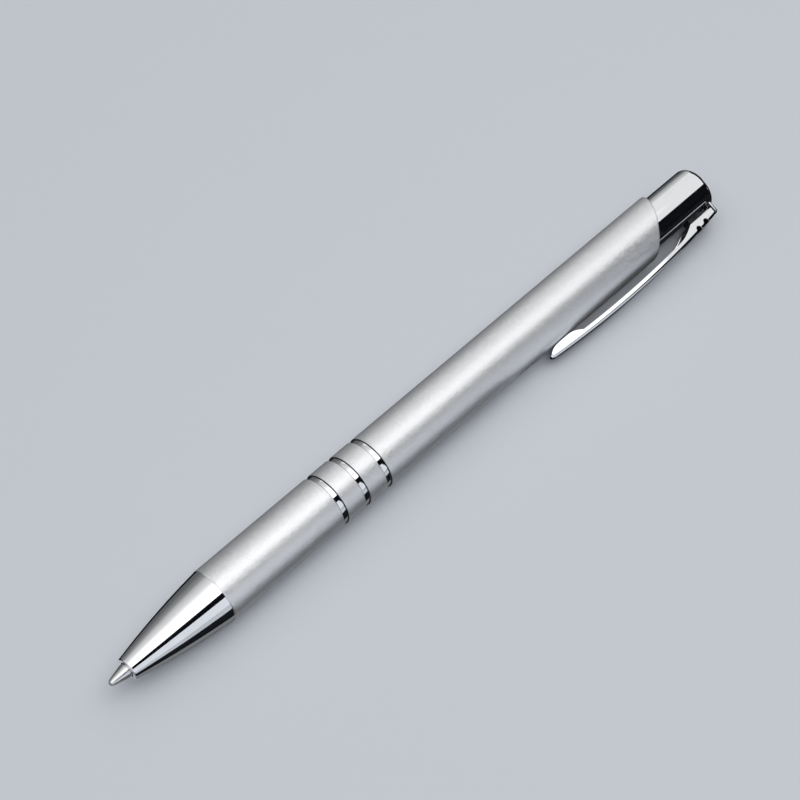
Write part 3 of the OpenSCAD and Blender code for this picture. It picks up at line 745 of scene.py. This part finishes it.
def clipShape(s, z):
    # underside, half width and crown of the bar at z
    edge = clipEdge(s, z)
    under = edge - s["armSide"]
    if z > s["bowMiddle"]:
        slope = min(1, max(0, (s["footStart"] - z) / s["footSlope"]))
        under = s["footUnder"] + (under - s["footUnder"]) * (1 - (1 - slope) ** 2)
    else:
        rise = s["padRise"] * (max(0, s["padMiddle"] - z) / s["padLength"]) ** s["padPower"]
        pad = min(barrelSizes["radius"] + s["padGap"] + rise, edge - s["armSide"] * s["padSide"])
        under = pad + (under - pad) * min(1, max(0, (z - s["padMiddle"]) / s["padSlope"])) ** s["padBlend"]
    roundStart = s["tip"] + s["roundLength"]
    taper = max(0, s["taperStart"] - max(z, roundStart)) / (s["taperStart"] - roundStart)
    half = (s["width"] - (s["width"] - s["tipWidth"]) * taper ** s["taperPower"]) / 2
    half *= math.sqrt(max(s["tipShare"], 1 - (max(0, roundStart - z) / s["roundLength"]) ** 2))
    return under, half, edge + min(s["crown"], half * s["crownShare"])


def arcPoints(out, side, radius, steps, start=0):
    # a quarter round that ends at height out and width side
    turns = [math.radians(start + (90 - start) * k / steps) for k in range(steps + 1)]
    return [(out - radius + radius * math.sin(t), side - radius + radius * math.cos(t)) for t in turns]


def clipRow(s, z, top=None, trim=0):
    # half of a cross-section at z: points (out from the pen's axis, sideways) from under the clip to its crown
    under, half, crown = clipShape(s, z)
    fillet = min(s["fillet"], half * s["filletShare"], crown - under - s["filletRoom"])
    # the bar is hollow underneath, between two side walls
    start, end = s["hollow"]
    ramp = min(1, max(0, (z - start) / s["hollowRamp"])) if z < end else 0
    deep = max(0, crown - s["plate"] - under) * ramp
    if top is not None:
        fillet = fillet if top > clipEdge(s, z) + s["grooveOver"] else s["rimRound"]
        crown = top
    half -= trim
    crown -= trim
    soft, ease = s["edgeRound"], s["edgeEase"]
    lift = min(soft, deep)
    low = under + lift
    inner = half - min(s["wall"], half * s["wallShare"])
    wallTop = max(lift, deep - 2 * soft)
    row = [(under + deep, (inner - 2 * soft) * k / 3) for k in range(4)]
    row += [(under + wallTop, inner), (low + min(s["bright"], (wallTop - lift) * s["brightShare"]), inner)]
    row += [(low, inner), (under + ease * lift, inner + ease * soft), (under, inner + soft)]
    row += [(under, half - soft), (under + ease * soft, half - ease * soft), (under + soft, half)]
    # two points close to the edges keep the flank flat between them
    row += [(under + soft + s["support"], half), (crown - fillet - s["support"], half)]
    return row + arcPoints(crown, half, fillet, s["filletSteps"]) + [(crown, 0)]


def lipRow(s, inset=0):
    # the end lip is a little wider than the clip and curves round the button; as many points as in a clipRow
    z = s["end"]
    crown = clipShape(s, z)[2] - inset
    half = s["width"] / 2 + s["lipStep"] - inset
    corner = clipEdge(s, z) + s["lipStep"] - inset
    low = s["footUnder"] + inset
    sides = [half * k / (s["lipUnder"] - 1) for k in range(s["lipUnder"])]
    row = [(math.sqrt(low ** 2 - side ** 2), side) for side in sides]
    row += arcPoints(corner, half, s["lipRound"], s["lipSteps"])
    start = math.degrees(math.asin(max(0, (corner - crown + s["fillet"]) / s["fillet"])))
    row += arcPoints(crown, s["width"] / 2, s["fillet"], s["filletSteps"] - s["lipSteps"] - 1, start)
    return row + [(crown, 0)]


def clipRows(s):
    # every cross-section of the bar from its tip to its end, as (place, points)
    def spread(a, b, count):
        return [(a + (b - a) * k / count, None) for k in range(count)]

    radius, rim, ease = s["grooveRadius"], s["rimRound"], s["rimEase"]
    barStart = s["tip"] + s["roundLength"]
    lipStart = s["end"] - s["lip"]
    places = spread(s["tip"], barStart, s["tipRows"]) + spread(barStart, s["footStart"], s["barRows"])
    # a groove's rounded rim, as (away from its middle, below the crown)
    walls = [(radius + rim, 0), (radius + 0.5 * rim, ease * rim), (radius + ease * rim, 0.5 * rim), (radius, rim)]
    at = s["footStart"]
    for groove in s["grooves"]:
        crown = clipShape(s, groove)[2]
        edge = clipEdge(s, groove)
        places += spread(at, groove - radius - rim, s["grooveRows"])
        places += [(groove - away, crown - drop) for away, drop in walls]
        for k in range(s["grooveSteps"] + 1):
            turn = math.pi * k / s["grooveSteps"]
            places.append((groove - radius * math.cos(turn), edge - radius * math.sin(turn)))
        places += [(groove + away, crown - drop) for away, drop in reversed(walls)]
        at = groove + radius + rim + s["support"]
    # the flank rounds off into a fine neck before the lip
    neck = s["neck"]
    neckStart = lipStart - s["neckStart"] * neck
    places += spread(at, neckStart, s["footRows"])
    rows = [(z, clipRow(s, z, top)) for z, top in places]
    for k in range(s["neckRows"] + 1):
        turn = math.pi / 2 * k / s["neckRows"]
        row = clipRow(s, lipStart, None, neck * (1 - math.cos(turn)))
        rows.append((neckStart + s["neckRun"] * neck * math.sin(turn), row))
    rows.append((lipStart, clipRow(s, lipStart, None, neck)))
    soft, endSoft = s["lipSoft"], s["endSoft"]
    rows += [(lipStart, lipRow(s, soft)), (lipStart + soft, lipRow(s)), (s["end"] - endSoft, lipRow(s)),
             (s["end"] - endSoft / 3, lipRow(s, endSoft / 3)), (s["end"], lipRow(s, endSoft))]
    return rows


def makeClip(s):
    # a grid is shaped row by row into one half of the bar, mirrored, and closed at both ends
    rows = clipRows(s)
    columns = len(rows[0][1]) - 1
    clearSelection()
    bpy.ops.mesh.primitive_grid_add(x_subdivisions=columns, y_subdivisions=len(rows) - 1, size=1)
    clip = bpy.context.object
    clip.name = clip.data.name = "clipBar"
    bpy.ops.object.mode_set(mode='EDIT')
    mesh = bmesh.from_edit_mesh(clip.data)
    for vert in mesh.verts:
        z, row = rows[round((vert.co.y + 0.5) * (len(rows) - 1))]
        out, side = row[round((vert.co.x + 0.5) * columns)]
        vert.co = (seamX + z * mm, side * mm, out * mm)
    bmesh.update_edit_mesh(clip.data)
    bpy.ops.object.mode_set(mode='OBJECT')
    mirror = clip.modifiers.new("otherHalf", 'MIRROR')
    mirror.use_axis = (False, True, False)
    mirror.merge_threshold = near
    applyAll(clip)
    bpy.ops.object.mode_set(mode='EDIT')
    bpy.ops.mesh.select_all(action='SELECT')
    bpy.ops.mesh.remove_doubles(threshold=0.2 * near)
    closeEnds()
    bpy.ops.mesh.select_all(action='SELECT')
    bpy.ops.mesh.dissolve_degenerate(threshold=near)
    faceOutwards()
    # the web goes through the button's slot and ends in the bead that the clip rocks on
    clearSelection()
    bpy.ops.mesh.primitive_cube_add(size=1)
    web = bpy.context.object
    top = s["footUnder"] + s["webIn"]
    web.scale = ((s["webEnd"] - s["webStart"]) * mm, s["webWidth"] * mm, (top - s["webRoot"]) * mm)
    web.location = (seamX + (s["webStart"] + s["webEnd"]) / 2 * mm, 0, (top + s["webRoot"]) / 2 * mm)
    bpy.ops.object.transform_apply()
    clearSelection()
    bpy.ops.mesh.primitive_cylinder_add(vertices=s["beadSides"], radius=s["beadRadius"] * mm,
                                        depth=s["beadWidth"] * mm)
    bead = bpy.context.object
    bead.rotation_euler = (math.pi / 2, 0, 0)
    bead.location = (seamX + s["beadAt"][0] * mm, 0, s["beadAt"][1] * mm)
    bpy.ops.object.transform_apply()
    for part in (web, bead):
        softened = part.modifiers.new("edges", 'BEVEL')
        softened.width = s["edgeRound"] * mm
        softened.segments = 2
        softened.limit_method = 'ANGLE'
        softened.angle_limit = math.radians(s["webBevel"])
        applyAll(part)
    cutWith(web, bead, 'UNION')
    clearSelection()
    web.select_set(True)
    clip.select_set(True)
    bpy.context.view_layer.objects.active = clip
    bpy.ops.object.join()
    # turned about the pen until it meets the table
    clip.rotation_euler = clipTurn
    bpy.ops.object.transform_apply()
    polish(clip, s["smoothAngle"])

    # the web and bead in the slot get painted shade
    def isWeb(face):
        below = face.center.dot(clipWay) / mm < s["footUnder"] - s["webBelow"]
        return below and alongPen(face.center) < s["webEnd"] + s["webPast"]

    # the hollow and the neck get painted shade: dark faces instead of chrome
    def isInside(face):
        along = alongPen(face.center)
        if -s["neckDark"] * s["neck"] < along - s["end"] + s["lip"] < s["neckEnd"]:
            return True
        out = face.center.dot(clipWay) / mm
        aside = abs(face.center.dot(sideWay)) / mm
        under, half, crown = clipShape(s, along)
        return under + s["bright"] * s["darkFrom"] < out < crown - s["darkIn"] and aside < half - s["darkIn"]

    finishPiece(clip, clipChrome, "clip", "polished_clip", "clip",
                extras=[(webPaintedShade, isWeb), (hollowPaintedShade, isInside)])


makeClip(clipSizes)


# inner pieces stay as built, each with its own finish

innerFinishes = {
    "front_bush": turnedBrass, "carrier_tube": darkAcetal, "lock_ring": turnedBrass, "tip_holder": turnedBrass,
    "cam_sleeve": whiteAcetal, "rotor": whiteAcetal, "plunger": darkAcetal, "refill_plug": darkAcetal,
    "refill_tube": drawnSteel, "ink_column": inkPaste, "tip_ball": ballCarbide}

for nodeName, finish in innerFinishes.items():
    nodes[nodeName].data.materials.clear()
    nodes[nodeName].data.materials.append(finish)
print("inner pieces painted")


# studio: pale floor, one wide soft light overhead, dark cards that only reflections see

studio = {
    "floorColor": (0.72, 0.75, 0.8), "floorSize": 6.0, "floorZ": -5.0 * mm, "floorRough": 0.8,
    "worldColor": (0.78, 0.81, 0.86), "worldFill": 0.32,
    # softbox: its place, and its brightness over the pen, across its width and at the button's end
    "boxHeight": 0.62, "boxMiddle": 0.22, "boxLength": 1.5, "boxNear": -0.455, "boxFar": 0.96,
    "boxCore": 0.62, "coreFade": (-0.1, 0.3), "boxWide": (0.95, 0.33), "boxEnd": 0.86, "endFade": (0.43, 0.485),
    # far screen: its glow from the floor up, and more of it towards the button's end
    "screenFrom": (-0.7, 1), "screenTo": (1.6, 1), "screenHeight": 0.78, "screenGlow": (0, 0.7, 0.12, 0.32),
    "screenEnd": (0.5, 0.75, 1.0, 2.4), "endCard": (1.25, -0.6, 1.1, 0.75),    # x, y from and to, height
    "cardBlack": (0.012, 0.013, 0.016), "cardGrey": (0.16, 0.17, 0.18), "cardPale": (0.3, 0.3, 0.31),
    "cardAway": 0.9, "stripLift": 0.3 * mm}

# cards around the pen: from x, to x, low edge in degrees at both ends, high edge in degrees
roundCards = {
    "cardNear": (-0.5, 0.4, 146, 146, 122), "cardSlant": (0.4, 0.62, 146, 180.3, 122),
    "cardRight": (0.62, 1.5, 180.3, 180.3, 122), "cardOver": (-0.5, 1.5, 122, 122, 85)}

# strips on the floor, seen only in reflections, give the polished sides their dark lower edges; those on the near side
# of the nose, barrel and clip and the one under them are painted shadow where the pen's shadow lies: x and y ranges and
# colour
floorCards = {
    "shadowStripNear": (-0.5, 0.056, -0.022, -0.0075, "cardBlack"), "shadowStripClip": (0.056, 0.098, -0.0095, -0.003, "cardBlack"),
    "stripButton": (0.098, 1.25, -0.95, -0.003, "cardBlack"), "shadowStripUnder": (-0.5, 0.056, -0.0075, -0.002, "cardPale"),
    "stripFar": (-0.5, 1.2, 0.006, 0.022, "cardBlack"), "cardFloorFar": (-0.7, 1.6, 0.022, 1.0, "cardGrey")}


def flatPaint(name, color, roughness):
    material = bpy.data.materials.new(name)
    material.use_nodes = True
    shader = material.node_tree.nodes["Principled BSDF"]
    shader.inputs["Base Color"].default_value = (*color, 1)
    shader.inputs["Roughness"].default_value = roughness
    shader.inputs["Specular IOR Level"].default_value = 0
    return material


def axesNode(tree):
    place = tree.nodes.new('ShaderNodeTexCoord')
    axes = tree.nodes.new('ShaderNodeSeparateXYZ')
    tree.links.new(place.outputs["Object"], axes.inputs[0])
    return axes


def makeFloor(s):
    clearSelection()
    bpy.ops.mesh.primitive_plane_add(size=s["floorSize"], location=(0, 0, s["floorZ"]))
    floor = bpy.context.object
    floor.name = "tableTop"
    floor.data.materials.append(flatPaint("tablePaint", s["floorColor"], s["floorRough"]))


def makeSoftbox(s):
    # bright over the pen, fading towards the far side, even and dimmer at the button's end, cut off on the near side
    clearSelection()
    bpy.ops.mesh.primitive_plane_add(size=1)
    box = bpy.context.object
    box.name = "softbox"
    box.scale = (s["boxLength"], s["boxFar"] - s["boxNear"], 1)
    box.location = (s["boxMiddle"], (s["boxNear"] + s["boxFar"]) / 2, s["boxHeight"])
    bpy.ops.object.transform_apply()
    material = bpy.data.materials.new("softboxGlow")
    material.use_nodes = True
    tree = material.node_tree
    tree.nodes.remove(tree.nodes["Principled BSDF"])
    glow = tree.nodes.new('ShaderNodeEmission')
    axes = axesNode(tree)
    core = rangeNode(tree, axes.outputs["Y"], *s["coreFade"], s["boxCore"], 0)
    core.interpolation_type = 'SMOOTHSTEP'
    wide = rangeNode(tree, axes.outputs["Y"], 0, s["boxFar"], *s["boxWide"])
    fade = mathNode(tree, 'ADD', core.outputs[0], wide.outputs[0])
    end = rangeNode(tree, axes.outputs["X"], *s["endFade"])
    level = tree.nodes.new('ShaderNodeMix')
    level.inputs["B"].default_value = s["boxEnd"]
    tree.links.new(end.outputs[0], level.inputs["Factor"])
    tree.links.new(fade.outputs[0], level.inputs["A"])
    tree.links.new(level.outputs["Result"], glow.inputs["Strength"])
    tree.links.new(glow.outputs[0], tree.nodes["Material Output"].inputs["Surface"])
    box.data.materials.append(material)
    box.visible_camera = False


def makeCard(name, corners, color):
    # a dark card between four points; it throws no shadow
    clearSelection()
    bpy.ops.mesh.primitive_plane_add(size=1)
    card = bpy.context.object
    card.name = name
    bpy.ops.object.mode_set(mode='EDIT')
    mesh = bmesh.from_edit_mesh(card.data)
    mesh.verts.ensure_lookup_table()
    for vert, corner in zip([mesh.verts[i] for i in (0, 1, 3, 2)], corners):
        vert.co = corner
    bmesh.update_edit_mesh(card.data)
    bpy.ops.object.mode_set(mode='OBJECT')
    card.data.materials.append(flatPaint(name + "Black", color, 1))
    card.visible_camera = False
    card.visible_diffuse = False
    card.visible_shadow = False
    return card


def aroundPen(x, degrees, distance):
    # a point at that angle about the pen, counted from the far side up and over
    turn = math.radians(degrees)
    return Vector((x, distance * math.cos(turn), distance * math.sin(turn)))


def makeFarScreen(s):
    # a dim screen on the far side carries the softbox's fade on down to the floor
    (x0, y0), (x1, y1), top = s["screenFrom"], s["screenTo"], s["screenHeight"]
    screen = makeCard("screenFar", [(x0, y0, 0), (x1, y1, 0), (x1, y1, top), (x0, y0, top)], s["cardBlack"])
    tree = screen.data.materials[0].node_tree
    shader = tree.nodes["Principled BSDF"]
    shader.inputs["Emission Color"].default_value = (1, 1, 1, 1)
    axes = axesNode(tree)
    rise = rangeNode(tree, axes.outputs["Z"], *s["screenGlow"])
    side = rangeNode(tree, axes.outputs["X"], *s["screenEnd"])
    level = mathNode(tree, 'MULTIPLY', rise.outputs[0], side.outputs[0])
    tree.links.new(level.outputs[0], shader.inputs["Emission Strength"])


def makeWorld(s):
    world = bpy.data.worlds.new("studioAir")
    scene.world = world
    world.use_nodes = True
    tree = world.node_tree
    background = tree.nodes["Background"]
    background.inputs["Color"].default_value = (*s["worldColor"], 1)
    path = tree.nodes.new('ShaderNodeLightPath')
    seen = mathNode(tree, 'MAXIMUM', path.outputs["Is Camera Ray"], path.outputs["Is Glossy Ray"])
    either = mathNode(tree, 'MAXIMUM', seen.outputs[0], path.outputs["Is Transmission Ray"])
    level = rangeNode(tree, either.outputs[0], 0, 1, s["worldFill"], 1.0)
    tree.links.new(level.outputs[0], background.inputs["Strength"])


makeFloor(studio)
makeSoftbox(studio)
away = studio["cardAway"]
for cardName, (x0, x1, low0, low1, high) in roundCards.items():
    makeCard(cardName, [aroundPen(x0, low0, away), aroundPen(x1, low1, away), aroundPen(x1, high, away),
                        aroundPen(x0, high, away)], studio["cardBlack"])
endX, y0, y1, top = studio["endCard"]
makeCard("cardEnd", [(endX, y0, 0), (endX, y1, 0), (endX, y1, top), (endX, y0, top)], studio["cardBlack"])
makeFarScreen(studio)
stripZ = studio["floorZ"] + studio["stripLift"]
for cardName, (x0, x1, y0, y1, paint) in floorCards.items():
    makeCard(cardName, [(x0, y0, stripZ), (x1, y0, stripZ), (x1, y1, stripZ), (x0, y1, stripZ)], studio[paint])
makeWorld(studio)
print("studio set")


# camera where the photograph was taken from

cameraView = {
    "place": (-122.62, -159.48, 316.532), "azimuth": 46.1838, "elevation": 54.1501, "roll": -2.0768, "lens": 104.27,
    "sensor": 36, "clipStart": 0.01}


def makeCamera(s):
    azimuth, elevation, roll = (math.radians(s[k]) for k in ("azimuth", "elevation", "roll"))
    flat = math.cos(elevation)
    forward = Vector((flat * math.cos(azimuth), flat * math.sin(azimuth), -math.sin(elevation)))
    level = forward.cross(Vector((0, 0, 1))).normalized()
    above = level.cross(forward)
    right = math.cos(roll) * level + math.sin(roll) * above
    up = -math.sin(roll) * level + math.cos(roll) * above
    data = bpy.data.cameras.new("photoCamera")
    data.lens = s["lens"]
    data.sensor_width = s["sensor"]
    data.clip_start = s["clipStart"]
    camera = bpy.data.objects.new("photoCamera", data)
    scene.collection.objects.link(camera)
    turn = Matrix((right, up, -forward)).transposed().to_4x4()
    camera.matrix_world = Matrix.Translation(Vector(s["place"]) * mm) @ turn
    scene.camera = camera


makeCamera(cameraView)
scene.view_settings.view_transform = 'Standard'
print("camera placed")
